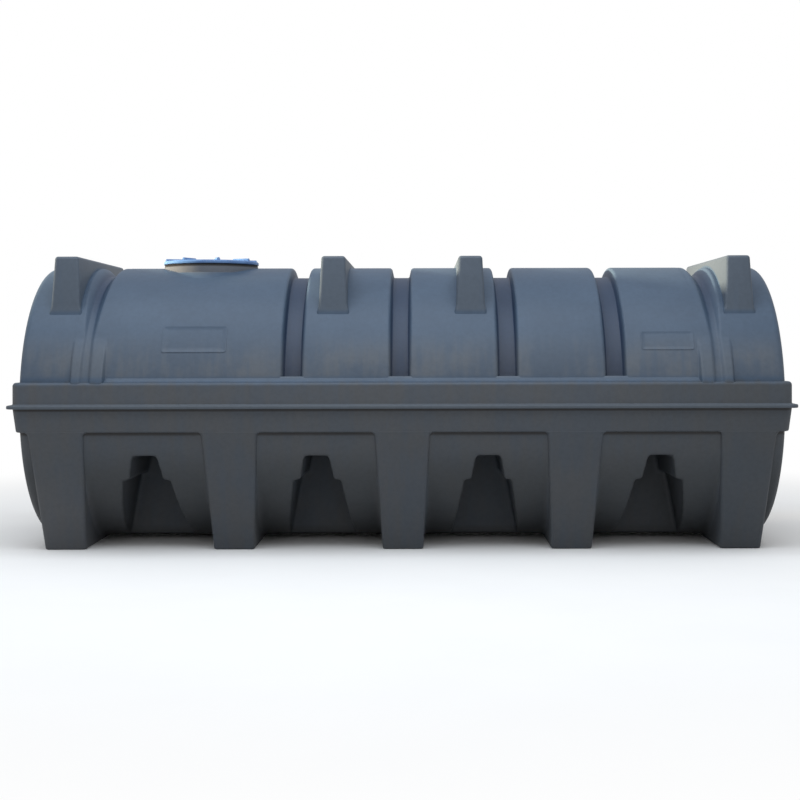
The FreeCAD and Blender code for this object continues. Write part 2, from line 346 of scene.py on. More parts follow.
def barrel_patch(x0, x1, radius, low_angle, high_angle, cuts, steps):
    """A fine open patch about the barrel's axis, between two angles up from the front."""
    piece = draw([at_front(x0, radius), at_front(x1, radius)])
    bpy.ops.mesh.select_all(action="SELECT")
    bpy.ops.mesh.subdivide(number_cuts=cuts)
    spin(piece, (0, 0, AXIS), ALONG, -low_angle, low_angle - high_angle, steps, close=False)
    middle = piece.data.polygons[len(piece.data.polygons) // 2]
    outward = middle.center - Vector((middle.center.x, 0, AXIS))
    if middle.normal.dot(outward) < 0:
        bpy.ops.object.mode_set(mode="EDIT")
        bpy.ops.mesh.select_all(action="SELECT")
        bpy.ops.mesh.flip_normals()
        bpy.ops.object.mode_set(mode="OBJECT")
    return piece


FILM = 0.008
EASE = 0.5


def wrap(film, block, passes):
    """Projects the patch on to the block, which is used up, and eases its edges."""
    shape_with(film, "SHRINKWRAP", target=block, wrap_method="PROJECT", use_negative_direction=True,
               use_positive_direction=True)
    shape_with(film, "SMOOTH", factor=EASE, iterations=passes)
    bpy.data.objects.remove(block)


print("block helpers ready")

# %% Wrap the end bands
PILASTER_SINK = 0.060
CHANNEL_DEPTH = 0.056
CHANNEL_SETBACK = 0.024
CHANNEL_FLOOR = 0.036
CHANNEL_MARGIN = 0.015
OVERLAP = 0.030
BURIED = 0.0006
PATCH_LIFT = 0.08
BAND_FOOT = 0.04
BAND_CUTS = 63
BAND_STEPS = 400
BAND_PASSES = 14
SLAB_LENGTH = 6.0
SLAB_HEIGHT = 4.0
belt_rise = BELT_TOP - AXIS


def lowered_circle(sink, foot):
    """Drop and radius of a circle that lies sink below the crest and passes the foot at the belt's top."""
    crest = RADIUS - sink
    drop = (foot ** 2 + belt_rise ** 2 - crest ** 2) / (2 * (crest - belt_rise))
    return drop, crest + drop


def channel_cutter(place):
    drop, radius = lowered_circle(CHANNEL_DEPTH, belt_high.y - CHANNEL_SETBACK)
    half = CHANNEL_FLOOR / 2
    flare = 2 * CHANNEL_DEPTH
    line = [(place - half, radius), (place + half, radius), (place + half + flare, radius + flare),
            (place - half - flare, radius + flare)]
    piece = draw([at_front(x, reach, drop) for x, reach in line + line[:1]])
    spin(piece, (0, 0, AXIS - drop), ALONG, 0.0, 2 * math.pi, ROUND_SIDES, close=False)
    return piece


for side, word in ((-1, "left"), (1, "right")):
    low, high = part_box("end_channel_" + word)
    drop, radius = lowered_circle(PILASTER_SINK, high.y)
    pilaster = lying_cylinder(radius, low.x, high.x, drop)
    clear()
    bpy.ops.mesh.primitive_cube_add(size=1.0, location=(0, 0, AXIS))
    slab = bpy.context.object
    bpy.ops.object.mode_set(mode="EDIT")
    bpy.ops.mesh.select_all(action="SELECT")
    bpy.ops.transform.resize(value=(SLAB_LENGTH, 2 * high.y, SLAB_HEIGHT))
    bpy.ops.object.mode_set(mode="OBJECT")
    bpy.ops.object.transform_apply(location=True, rotation=True, scale=True)
    combine(pilaster, slab, "INTERSECT")
    block = lying_cylinder(RADIUS - BURIED, low.x - 2 * OVERLAP, high.x + 2 * OVERLAP)
    combine(block, pilaster, "UNION")
    outer_x = max(abs(low.x), abs(high.x))
    channel_x = side * (outer_x - CHANNEL_MARGIN - CHANNEL_DEPTH - CHANNEL_FLOOR / 2)
    combine(block, channel_cutter(channel_x), "DIFFERENCE")
    foot_angle = math.asin((belt_rise - BAND_FOOT) / RADIUS)
    band = barrel_patch(low.x - OVERLAP, high.x + OVERLAP, RADIUS + PATCH_LIFT, foot_angle, math.pi - foot_angle,
                        BAND_CUTS, BAND_STEPS)
    wrap(band, block, BAND_PASSES)
    shape_with(band, "SOLIDIFY", thickness=FILM, offset=-1.0)
    settle(band, "end_band_" + word, "tank", ["end_channel_" + word], 45)

# %% [markdown]
# ## Belts and flange
# The two belts and the flange between them run round the tank at its parting line as one rounded rectangle. They
# could be three pieces, but a single plate that is extruded upwards, and in and out, keeps their corners together.

# %% Extrude the belts
BELT_CORNER = 0.060
BELT_DRAFT = 0.016
FLANGE_REACH = flange_high.x - belt_high.x
FLANGE_SLOPE = 0.006
belt_size = Vector((belt_high.x - belt_low.x, belt_high.y - belt_low.y, 0))

clear()
bpy.ops.mesh.primitive_plane_add(size=1.0, location=(0, 0, 0))
belts = bpy.context.object
bpy.ops.object.mode_set(mode="EDIT")
bpy.ops.mesh.select_all(action="SELECT")
bpy.ops.transform.translate(value=(0, 0, BELT_BOTTOM))
bpy.ops.transform.resize(value=(belt_size.x - 2 * BELT_DRAFT, belt_size.y - 2 * BELT_DRAFT, 1))
bpy.ops.mesh.bevel(offset=BELT_CORNER, offset_type="OFFSET", segments=8, affect="VERTICES")


def raise_edge(rise, size_before, reach):
    """Extrudes the open top by rise and lets it out by reach all round."""
    bpy.ops.mesh.extrude_region_move(TRANSFORM_OT_translate={"value": (0, 0, rise)})
    after = Vector((size_before.x + 2 * reach, size_before.y + 2 * reach, 0))
    bpy.ops.transform.resize(value=(after.x / size_before.x, after.y / size_before.y, 1))
    return after


size_now = belt_size - Vector((2 * BELT_DRAFT, 2 * BELT_DRAFT, 0))
bpy.ops.mesh.select_mode(type="FACE")
bpy.ops.mesh.select_all(action="SELECT")
size_now = raise_edge(FLANGE_BOTTOM - BELT_BOTTOM, size_now, BELT_DRAFT)
size_now = raise_edge(0.0, size_now, FLANGE_REACH)
size_now = raise_edge(FLANGE_TOP - FLANGE_BOTTOM - FLANGE_SLOPE, size_now, 0.0)
size_now = raise_edge(FLANGE_SLOPE, size_now, -FLANGE_REACH)
raise_edge(BELT_TOP - FLANGE_TOP, size_now, 0.0)

# %% Round the belts
BELT_EDGES = {  # height: how far the edge stands out from the upper belt, radius of its round, steps
    BELT_TOP: (0.0, 0.022, 6),
    FLANGE_BOTTOM: (FLANGE_REACH, 0.005, 3),
    FLANGE_TOP - FLANGE_SLOPE: (FLANGE_REACH, 0.006, 3),
    BELT_BOTTOM: (-BELT_DRAFT, 0.010, 4),
    FLANGE_TOP: (0.0, 0.005, 3),
}
LEVEL_SLACK = 0.0005
REACH_SLACK = 0.014


def loop_reach(point):
    """How far a point stands out from the upper belt's rounded outline."""
    aside = [max(abs(value) - size / 2 + BELT_CORNER, 0.0) for value, size in zip(point[:2], belt_size[:2])]
    return math.hypot(*aside) - BELT_CORNER


def on_loop(point, height, reach):
    return abs(point.z - height) < LEVEL_SLACK and abs(loop_reach(point) - reach) < REACH_SLACK


for height, (reach, radius, count) in BELT_EDGES.items():
    found = pick(belts, lambda start, end: all(on_loop(point, height, reach) for point in (start, end)), "EDGE")
    bpy.ops.mesh.bevel(offset=radius, offset_type="OFFSET", segments=count, affect="EDGES")
    print("belt edge at", round(height, 3), found, "edges")
settle(belts, "belts", "tank", ["upper_belt", "parting_flange", "lower_belt"], 35)

# %% [markdown]
# ## Sills
# Where the barrel meets the belt's top the mould leaves a small hollow curve, which also closes the feet of the strap
# grooves. A bevel could round that seam only if barrel and belts were one mesh. They are not, so the curve is a piece
# of its own: a short outline, filled and extruded along the tank, once at the front and once at the back.

# %% Extrude the sills
def barrel_y(height):
    return math.sqrt(RADIUS ** 2 - (height - AXIS) ** 2)


SILL_ROOT = 0.012
SILL = [(0.034, -0.006), (0.024, 0.0005), (0.015, 0.003), (0.008, 0.008), (0.003, 0.015), (0.0005, 0.024)]
for sign, word in ((-1, "front"), (1, "back")):
    outline = [(left_x, sign * (barrel_y(BELT_TOP + rise) + out), BELT_TOP + rise) for rise, out in SILL]
    outline += [(left_x, outline[-1][1], BELT_TOP - SILL_ROOT), (left_x, outline[0][1], BELT_TOP - SILL_ROOT)]
    sill = extruded(outline, (right_x - left_x, 0, 0))
    settle(sill, "sill_" + word, "tank", (), 50)

# %% [markdown]
# ## Cross legs
# Five legs run right across under the tank. Each is a block that narrows to its foot, with rounded uprights and a
# small round at the sole. At the belt it spreads in a hollow quarter round, which rounds the upper corners of the
# bays beside it. Each could be modelled where it stands, but they are all alike, so one is modelled and the others
# are copies with meshes of their own.

# %% Helpers for copies
def standing_block(size):
    """A box of this size that stands on the origin, in edit mode and selected all over."""
    clear()
    bpy.ops.mesh.primitive_cube_add(size=1.0, location=(0, 0, 0))
    piece = bpy.context.object
    bpy.ops.object.mode_set(mode="EDIT")
    bpy.ops.mesh.select_all(action="SELECT")
    bpy.ops.transform.translate(value=(0, 0, 0.5))
    bpy.ops.transform.resize(value=size, center_override=(0, 0, 0))
    return piece


def copy_to(piece, place):
    """A copy with its own mesh, moved in edit mode so that its object stays at the origin."""
    clear()
    twin = piece.copy()
    twin.data = piece.data.copy()
    scene.collection.objects.link(twin)
    twin.select_set(True)
    bpy.context.view_layer.objects.active = twin
    bpy.ops.object.mode_set(mode="EDIT")
    bpy.ops.mesh.select_all(action="SELECT")
    bpy.ops.transform.translate(value=place)
    return twin


print("copy helpers ready")

# %% Model one leg
leg_low, leg_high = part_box("cross_leg_3")
LEG_FOOT = Vector((0.250, 1.300, 0))
LEG_TOP = Vector((leg_high.x - leg_low.x, leg_high.y - leg_low.y, 0))
LEG_ROOT = 0.035
LEG_SPREAD = 0.024
SPREAD_STEPS = 5
LEG_CORNER = 0.022
SOLE_ROUND = 0.010
LEVEL_FACE = 0.9
leg = standing_block((LEG_FOOT.x, LEG_FOOT.y, BELT_BOTTOM))
pick(leg, lambda place: place.z > BELT_BOTTOM / 2)
bpy.ops.transform.resize(value=(LEG_TOP.x / LEG_FOOT.x, LEG_TOP.y / LEG_FOOT.y, 1))
pick(leg, lambda start, end: abs(start.z - end.z) > BELT_BOTTOM / 2, "EDGE")
bpy.ops.mesh.bevel(offset=LEG_CORNER, offset_type="OFFSET", segments=5, affect="EDGES")
pick(leg, lambda start, end: max(start.z, end.z) < CORNER_SLACK, "EDGE")
bpy.ops.mesh.bevel(offset=SOLE_ROUND, offset_type="OFFSET", segments=3, affect="EDGES")
leg_taper = (LEG_TOP - LEG_FOOT) / BELT_BOTTOM
pick(leg, lambda middle, normal: normal.z > LEVEL_FACE, "FACE")
spread_foot = LEG_TOP - LEG_SPREAD * leg_taper
bpy.ops.transform.translate(value=(0, 0, -LEG_SPREAD))
bpy.ops.transform.resize(value=(spread_foot.x / LEG_TOP.x, spread_foot.y / LEG_TOP.y, 1))
width = spread_foot.copy()
rise = 0.0
for step in range(1, SPREAD_STEPS + 1):
    turn = math.pi / 2 * step / SPREAD_STEPS
    rise_after = LEG_SPREAD * math.sin(turn)
    width_after = spread_foot + leg_taper * rise_after + Vector((2 * LEG_SPREAD * (1 - math.cos(turn)), 0, 0))
    bpy.ops.mesh.extrude_region_move(TRANSFORM_OT_translate={"value": (0, 0, rise_after - rise)})
    bpy.ops.transform.resize(value=(width_after.x / width.x, width_after.y / width.y, 1))
    width = width_after
    rise = rise_after
bpy.ops.mesh.extrude_region_move(TRANSFORM_OT_translate={"value": (0, 0, LEG_ROOT)})
bpy.ops.object.mode_set(mode="OBJECT")
print("leg", len(leg.data.polygons), "faces")

# %% Copy the leg
for number in range(1, 6):
    low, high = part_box("cross_leg_%d" % number)
    twin = copy_to(leg, ((low.x + high.x) / 2, 0, 0))
    settle(twin, "leg_%d" % number, "tank", ["cross_leg_%d" % number])

# %% [markdown]
# ## Belly bays
# Between the legs the belly shows. It runs into the legs in wide hollow curves, and a stepped niche is let into each
# side of it. Booleans join a lying cylinder to two slimmer copies of the leg and cut the niches, but they leave knife
# edges. Remeshing in small voxels and smoothing rounds them: many passes before the niches are cut draw the wide
# hollows at the legs, and a few passes after it keep the niches crisp.

# %% Join the belly to its legs
leg_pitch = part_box("cross_leg_4")[0].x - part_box("cross_leg_3")[0].x
BAY_GAP = 0.06
BAY_HALF = leg_pitch / 2 - BAY_GAP
BAY_ROOT = 0.04
STUB_SHARE = 0.985
VOXEL = 0.011
HOLLOW_PASSES = 40
bay = lying_cylinder(RADIUS, -BAY_HALF, BAY_HALF)
for side in (-1, 1):
    stub = copy_to(leg, (side * leg_pitch / 2, 0, 0))
    bpy.ops.transform.resize(value=(STUB_SHARE, STUB_SHARE, STUB_SHARE),
                             center_override=(side * leg_pitch / 2, 0, BELT_BOTTOM))
    bpy.ops.object.mode_set(mode="OBJECT")
    combine(bay, stub, "UNION")
bpy.data.objects.remove(leg)
bpy.ops.object.mode_set(mode="EDIT")
for place, outward in (((0, 0, BELT_BOTTOM + BAY_ROOT), (0, 0, 1)), ((BAY_HALF, 0, 0), (1, 0, 0)),
                       ((-BAY_HALF, 0, 0), (-1, 0, 0))):
    bpy.ops.mesh.select_all(action="SELECT")
    bpy.ops.mesh.bisect(plane_co=place, plane_no=outward, use_fill=True, clear_outer=True)
bpy.ops.object.mode_set(mode="OBJECT")
shape_with(bay, "REMESH", mode="VOXEL", voxel_size=VOXEL)
shape_with(bay, "SMOOTH", factor=EASE, iterations=HOLLOW_PASSES)
print("belly", len(bay.data.polygons), "faces")

# %% Cut the niches and copy the bay
NICHE_OUTLINE = [(0.225, -0.02), (0.141, 0.440), (0.101, 0.440), (0.073, 0.590)]
NICHE_BACK = 0.200
NICHE_PASSES = 4
left = [(-half, height) for half, height in reversed(NICHE_OUTLINE)]
for sign in (-1, 1):
    outline = [(x, sign * NICHE_BACK, height) for x, height in NICHE_OUTLINE + left]
    cutter = extruded(outline, (0, sign * RADIUS, 0))
    bpy.ops.mesh.select_all(action="SELECT")
    bpy.ops.mesh.normals_make_consistent(inside=False)
    bpy.ops.object.mode_set(mode="OBJECT")
    combine(bay, cutter, "DIFFERENCE")
shape_with(bay, "REMESH", mode="VOXEL", voxel_size=VOXEL)
shape_with(bay, "SMOOTH", factor=EASE, iterations=NICHE_PASSES)
for number in range(1, 5):
    low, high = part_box("belly_bay_%d" % number)
    twin = copy_to(bay, ((low.x + high.x) / 2, 0, 0))
    settle(twin, "bay_%d" % number, "tank",
           ["belly_bay_%d" % number, "niche_front_%d" % number, "niche_back_%d" % number], 60)
bpy.data.objects.remove(bay)

# %% [markdown]
# ## Lifting lugs
# Four box-like lugs ride over the crest. Each leans in to its top on every side, has rounded edges, and flares a
# little where it grows out of the barrel. Its foot could be cut to the barrel's curve, but a root that goes on below
# the barrel's skin leaves no gap either, and the lug stays a clean block.

# %% Model one lug and copy it
lug_low, lug_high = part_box("top_lug_1")
LUG_TOP = Vector((0.148, 1.270, 0))
LUG_BASE = Vector((0.182, 1.350, 0))
LUG_FLARE = 0.016
FLARE_HEIGHT = 0.050
LUG_ROOT = 0.060
LUG_ROUND = 0.018
lug = standing_block((LUG_BASE.x, LUG_BASE.y, lug_high.z - lug_low.z))
bpy.ops.transform.translate(value=(0, 0, lug_low.z))
pick(lug, lambda place: place.z > CREST)
bpy.ops.transform.resize(value=(LUG_TOP.x / LUG_BASE.x, LUG_TOP.y / LUG_BASE.y, 1))
pick(lug, lambda place: place.z < CREST)
share = FLARE_HEIGHT / (lug_high.z - lug_low.z)
waist = LUG_BASE.lerp(LUG_TOP, share)
bpy.ops.transform.translate(value=(0, 0, FLARE_HEIGHT))
bpy.ops.transform.resize(value=(waist.x / LUG_BASE.x, waist.y / LUG_BASE.y, 1))
pick(lug, lambda middle, normal: normal.z < -LEVEL_FACE, "FACE")
bpy.ops.mesh.extrude_region_move(TRANSFORM_OT_translate={"value": (0, 0, -FLARE_HEIGHT)})
bpy.ops.transform.resize(value=((LUG_BASE.x + 2 * LUG_FLARE) / waist.x, LUG_BASE.y / waist.y, 1))
bpy.ops.mesh.extrude_region_move(TRANSFORM_OT_translate={"value": (0, 0, -LUG_ROOT)})
bpy.ops.transform.resize(value=(1, (LUG_BASE.y - 2 * LUG_ROOT) / LUG_BASE.y, 1))
pick(lug, lambda start, end: max(start.z, end.z) > lug_low.z + CORNER_SLACK, "EDGE")
bpy.ops.mesh.bevel(offset=LUG_ROUND, offset_type="OFFSET", segments=5, affect="EDGES")
bpy.ops.object.mode_set(mode="OBJECT")
for number in range(1, 5):
    low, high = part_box("top_lug_%d" % number)
    twin = copy_to(lug, ((low.x + high.x) / 2, 0, 0))
    settle(twin, "lug_%d" % number, "tank", ["top_lug_%d" % number], 40)
bpy.data.objects.remove(lug)

# %% [markdown]
# ## Hatch
# A round neck stands in a collar that flares from its shoulder to the barrel's front and back, and runs out at the
# crest. A plain cone would meet the barrel in a hard crease, so the collar is made like the end bands: a fine patch
# is wrapped on to the barrel and a cone, and eased. The neck, seal and lid are turned about the hatch's upright axis.

# %% Wrap the collar
neck_low, neck_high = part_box("hatch_neck")
collar_low, collar_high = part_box("hatch_collar")
hatch = Vector(((neck_low.x + neck_high.x) / 2, 0, 0))
SHOULDER = (collar_high.x - collar_low.x) / 2
FLARE = collar_high.y
FLARE_DROP = 0.127
FLARE_TOP_DROP = 0.035
PATCH_MARGIN = 0.06
CONE_SIDES = 192
COLLAR_CUTS = 95
COLLAR_STEPS = 160
COLLAR_PASSES = 8
COLLAR_LAP = 0.02

clear()
bpy.ops.mesh.primitive_cone_add(vertices=CONE_SIDES, radius1=FLARE, radius2=SHOULDER,
                                depth=FLARE_DROP - FLARE_TOP_DROP,
                                location=(hatch.x, 0, CREST - (FLARE_DROP + FLARE_TOP_DROP) / 2))
bpy.ops.object.transform_apply(location=True, rotation=True, scale=True)
cone = bpy.context.object
patch_half = SHOULDER + PATCH_MARGIN
collar_angle = math.asin((FLARE + PATCH_MARGIN) / RADIUS)
block = lying_cylinder(RADIUS - BURIED, hatch.x - 2 * patch_half, hatch.x + 2 * patch_half)
combine(block, cone, "UNION")
collar = barrel_patch(hatch.x - patch_half, hatch.x + patch_half, RADIUS + PATCH_LIFT, math.pi / 2 - collar_angle,
                      math.pi / 2 + collar_angle, COLLAR_CUTS, COLLAR_STEPS)
wrap(collar, block, COLLAR_PASSES)


def from_hatch(place):
    return math.hypot(place.x - hatch.x, place.y)


pick(collar, lambda middle, normal: from_hatch(middle) < SHOULDER - COLLAR_LAP, "FACE")
bpy.ops.mesh.delete(type="FACE")
bpy.ops.object.mode_set(mode="OBJECT")
shape_with(collar, "SOLIDIFY", thickness=FILM, offset=-1.0)
settle(collar, "collar", "tank", ["hatch_collar"], 50)

# %% Spin the neck and seal
UP = (0, 0, 1)
NECK = (neck_high.x - neck_low.x) / 2
NECK_WALL = 0.014
NECK_SINK = 0.02
BORE = NECK - NECK_WALL
SHOULDER_TOP = collar_high.z
SHOULDER_ROUND = 0.003
RIM_ROUND = 0.002
TURNED_SIDES = 128
seal_low, seal_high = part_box("lid_seal")
SEAL = (seal_high.x - seal_low.x) / 2
SEAL_BORE = NECK + 0.006


def at_hatch(radius, height):
    return (hatch.x + radius, 0, height)


def turned_at_hatch(line, rounds):
    piece = draw([at_hatch(*corner) for corner in line])
    for corner, radius in rounds:
        soften(piece, [at_hatch(*corner)], radius, 4)
    spin(piece, tuple(hatch), UP, 0.0, 2 * math.pi, TURNED_SIDES)
    return piece


neck_foot = neck_low.z + NECK_SINK
neck_line = [(BORE, neck_foot), (SHOULDER, neck_foot), (SHOULDER, SHOULDER_TOP), (NECK, SHOULDER_TOP),
             (NECK, neck_high.z), (BORE, neck_high.z), (BORE, neck_foot)]
neck_rounds = [(neck_line[2], SHOULDER_ROUND), (neck_line[4], RIM_ROUND), (neck_line[5], RIM_ROUND)]
neck = turned_at_hatch(neck_line, neck_rounds)
settle(neck, "neck", "tank", ["hatch_neck"])
seal_line = [(SEAL_BORE, seal_low.z), (SEAL, seal_low.z), (SEAL, seal_high.z), (SEAL_BORE, seal_high.z),
             (SEAL_BORE, seal_low.z)]
seal = turned_at_hatch(seal_line, [(seal_line[1], RIM_ROUND), (seal_line[2], RIM_ROUND)])
settle(seal, "seal_ring", "seal", ["lid_seal"])

# %% Spin the lid
lid_low, lid_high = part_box("hatch_lid")
skirt_low, skirt_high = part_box("lid_skirt")
LID = (lid_high.x - lid_low.x) / 2
LID_CHAMFER = 0.007
LID_ROUND = 0.003
GRIP = Vector((0.024, 0.130, 0.016))
LID_FACE = lid_high.z - GRIP.z
SKIRT = NECK + 0.010
lid_line = [(0.0, LID_FACE), (LID - LID_CHAMFER, LID_FACE), (LID, LID_FACE - LID_CHAMFER), (LID, skirt_low.z),
            (SKIRT, skirt_low.z), (SKIRT, skirt_high.z), (0.0, skirt_high.z)]
lid = turned_at_hatch(lid_line, [(corner, LID_ROUND) for corner in lid_line[1:4]])
settle(lid, "screw_lid", "lid", ["hatch_lid", "lid_skirt"], 40)

# %% Model one grip and copy it round
GRIPS = 8
GRIP_DRAFT = 0.004
GRIP_ROUND = 0.004
GRIP_SINK = 0.0004
GRIP_TURN = 17
grip = standing_block(GRIP)
pick(grip, lambda place: place.z > GRIP.z / 2)
bpy.ops.transform.resize(value=((GRIP.x - 2 * GRIP_DRAFT) / GRIP.x, (GRIP.y - 2 * GRIP_DRAFT) / GRIP.y, 1))
pick(grip, lambda start, end: max(start.z, end.z) > CORNER_SLACK, "EDGE")
bpy.ops.mesh.bevel(offset=GRIP_ROUND, offset_type="OFFSET", segments=3, affect="EDGES")
bpy.ops.object.mode_set(mode="OBJECT")
for number in range(GRIPS):
    twin = copy_to(grip, (0, -(LID - LID_CHAMFER - GRIP.y / 2), LID_FACE - GRIP_SINK))
    angle = -math.radians(GRIP_TURN + 360 / GRIPS * number)
    bpy.ops.transform.rotate(value=angle, orient_axis="Z", center_override=(0, 0, 0))
    bpy.ops.transform.translate(value=tuple(hatch))
    settle(twin, "lid_grip_%d" % (number + 1), "lid")
bpy.data.objects.remove(grip)

# %% [markdown]
# ## Bare plates
# Two low frames stand on the bands for a plate each. Here they stay bare. A flat plate would stand off the barrel at
# its upper and lower edge, so a frame is another patch of the barrel, with its corners rounded, raised by a few
# millimetres and inset.

# %% Inset and raise the plates
PLATES = {  # left and right end, then the lower and upper angle round the barrel in degrees
    "left_plate": (-1.459, -1.065, 21.7, 33.7),
    "right_plate": (1.447, 1.768, 22.5, 30.9),
}
PLATE_SEAT = RADIUS - 0.002
PLATE_CUTS = 9
PLATE_STEPS = 5
PLATE_CORNER = 0.016
PLATE_RISE = 0.0045
FRAME_WIDTH = 0.005
FRAME_CROWN = 0.001
FIELD_INSET = 0.006
FIELD_DEPTH = 0.003


def plate(name, x0, x1, *degrees):
    angles = [math.radians(turn) for turn in degrees]
    piece = barrel_patch(x0, x1, PLATE_SEAT, *angles, PLATE_CUTS, PLATE_STEPS)
    corners = [Vector((x, -PLATE_SEAT * math.cos(angle), AXIS + PLATE_SEAT * math.sin(angle)))
               for x in (x0, x1) for angle in angles]
    pick(piece, lambda place: any((place - corner).length < 2 * CORNER_SLACK for corner in corners))
    bpy.ops.mesh.bevel(offset=PLATE_CORNER, offset_type="OFFSET", segments=4, affect="VERTICES")
    bpy.ops.mesh.select_mode(type="FACE")
    bpy.ops.mesh.select_all(action="SELECT")
    bpy.ops.mesh.extrude_region_shrink_fatten(TRANSFORM_OT_shrink_fatten={"value": PLATE_RISE})
    bpy.ops.mesh.inset(thickness=FRAME_WIDTH, depth=FRAME_CROWN)
    bpy.ops.mesh.inset(thickness=FIELD_INSET, depth=-FIELD_DEPTH)
    return settle(piece, name, "tank", (), 40)


for name, place in PLATES.items():
    plate(name, *place)

# %% [markdown]
# ## Shader arithmetic
# A finish is a sum of small effects: mottling, streaks, dust. They are easier to read as arithmetic, so a small class
# wraps a socket, and the usual operators add Math nodes.

# %% Socket arithmetic
class Value:
    """A shader socket that can be added, subtracted and multiplied, and that makes other nodes."""

    def __init__(self, tree, socket):
        self.tree = tree
        self.socket = socket

    def node(self, kind, settings=None, **sockets):
        made = self.tree.nodes.new(kind)
        for name, setting in (settings or {}).items():
            setattr(made, name, setting)
        for name, value in sockets.items():
            target = made.inputs[int(name[1:])] if name[1:].isdigit() else made.inputs[name.replace("_", " ")]
            if isinstance(value, Value):
                value.feed(target)
            else:
                target.default_value = value
        return made

    def out(self, made, name=0):
        return Value(self.tree, made.outputs[name])

    def feed(self, target):
        self.tree.links.new(self.socket, target)

    def maths(self, operation, first, second):
        return self.out(self.node("ShaderNodeMath", {"operation": operation}, i0=first, i1=second))

    def __add__(self, other):
        return self.maths("ADD", self, other)

    __radd__ = __add__

    def __mul__(self, other):
        return self.maths("MULTIPLY", self, other)

    __rmul__ = __mul__

    def __sub__(self, other):
        return self.maths("SUBTRACT", self, other)

    def __rsub__(self, other):
        return self.maths("SUBTRACT", other, self)

    def ramp(self, low, high):
        """0 below low, 1 above high, smooth between."""
        made = self.node("ShaderNodeMapRange", {"interpolation_type": "SMOOTHSTEP", "clamp": True},
                         Value=self, From_Min=low, From_Max=high)
        return self.out(made)

    def noise(self, place, scale, detail=4.0, roughness=0.55):
        made = self.node("ShaderNodeTexNoise", None, Vector=place, Scale=scale, Detail=detail, Roughness=roughness)
        return self.out(made, "Fac")

    def blend(self, first, second):
        """Mixes two colours by this value."""
        made = self.node("ShaderNodeMix", {"data_type": "RGBA", "clamp_factor": True}, i0=self, i6=first, i7=second)
        return self.out(made, 2)


def finish_tree(name):
    material = bpy.data.materials.new(name)
    material.use_nodes = True
    start = Value(material.node_tree, None)
    place = start.out(start.node("ShaderNodeTexCoord"), "Object")
    return material, material.node_tree.nodes["Principled BSDF"], place


def stretched(place, scale):
    return place.out(place.node("ShaderNodeMapping", None, Vector=place, Scale=scale))


def distance_from(place, keep, shift):
    """How far a point is from an axis: keep picks the directions across it, shift brings it to the origin."""
    across = place.out(place.node("ShaderNodeVectorMath", {"operation": "MULTIPLY_ADD"}, i0=place, i1=keep, i2=shift))
    return place.out(place.node("ShaderNodeVectorMath", {"operation": "LENGTH"}, i0=across), "Value")


def bump(place, height, strength, distance):
    made = place.node("ShaderNodeBump", None, Height=height, Strength=strength, Distance=distance)
    return place.out(made, "Normal")


print("shader arithmetic ready")

# %% [markdown]
# ## Slate plastic
# The shell is satin polyethylene, slate grey and a little blue where it is clean; part of the blue above the belt is
# painted sky light. It is never one colour: the mould leaves a soft mottle, rain draws faint streaks down the barrel,
# and dust settles just above the belt. The belt and legs are greyer and darker, partly soot and partly painted shade,
# damp towards the right end, with dried splashes low at the left. Painted shade darkens the grooves and the belly,
# and painted shadow lies in a dark line under each ledge and under the lid. A painted picture could hold all this,
# but only for one size of tank. Height and the distance from the barrel's axis tell where each effect belongs on the
# real one, so they drive it here.

# %% Slate plastic
CLEAN_SKY_TINTED = (0.051, 0.084, 0.135, 1)
PALE = (0.062, 0.099, 0.155, 1)
WORN = (0.078, 0.102, 0.136, 1)
SOOTY_SHADED = (0.079, 0.085, 0.094, 1)
COLD = (0.071, 0.084, 0.103, 1)
EARTH = (0.118, 0.130, 0.146, 1)
GROOVE_SHADE = (0.001, 0.011, 0.050, 1)
BELLY_SHADE = (0.050, 0.055, 0.060, 1)
DAMP = (0.042, 0.050, 0.059, 1)
SPLASHED = (0.126, 0.128, 0.134, 1)
RAIL = (0.086, 0.106, 0.132, 1)
SHADOWED = (0.016, 0.014, 0.013, 1)
NECK_DUST = (0.120, 0.130, 0.152, 1)
GRAIN_DARK = (0.6, 0.6, 0.6, 1)
WHITE = (1, 1, 1, 1)

slate, shader, place = finish_tree("slate_plastic")
parted = place.node("ShaderNodeSeparateXYZ", None, Vector=place)
along = place.out(parted, "X")
height = place.out(parted, "Z")
from_axis = distance_from(place, (0, 1, 1), (0, 0, -AXIS))
mottle = place.noise(place, 3.2, 5.0)
grain = place.noise(place, 38.0, 3.0)
streak = place.noise(stretched(place, (9.0, 1.2, 0.9)), 2.2, 4.0)
above_belt = height.ramp(BELT_TOP + 0.01, BELT_TOP + 0.05)
# Partly painted sky light: above the belt the shell is bluer than its own plastic, as if lit by the sky.
clean_sky_tinted = mottle.ramp(0.35, 0.75).blend(CLEAN_SKY_TINTED, PALE)
proud = from_axis.ramp(RADIUS + 0.003, RADIUS + 0.020)
worn = (proud * above_belt).blend(clean_sky_tinted, WORN)
# Partly soot and partly painted shade: below the belt the shell turns greyer and darker.
low = 1 - (height + 0.04 * streak).ramp(BELT_TOP - 0.01, BELT_TOP + 0.04)
sooty_shaded = (mottle * 0.6 + streak * 0.5).ramp(0.42, 0.68).blend(SOOTY_SHADED, COLD)
toned = low.blend(worn, sooty_shaded)
below_belt = 1 - height.ramp(BELT_BOTTOM - 0.30, BELT_BOTTOM - 0.02)
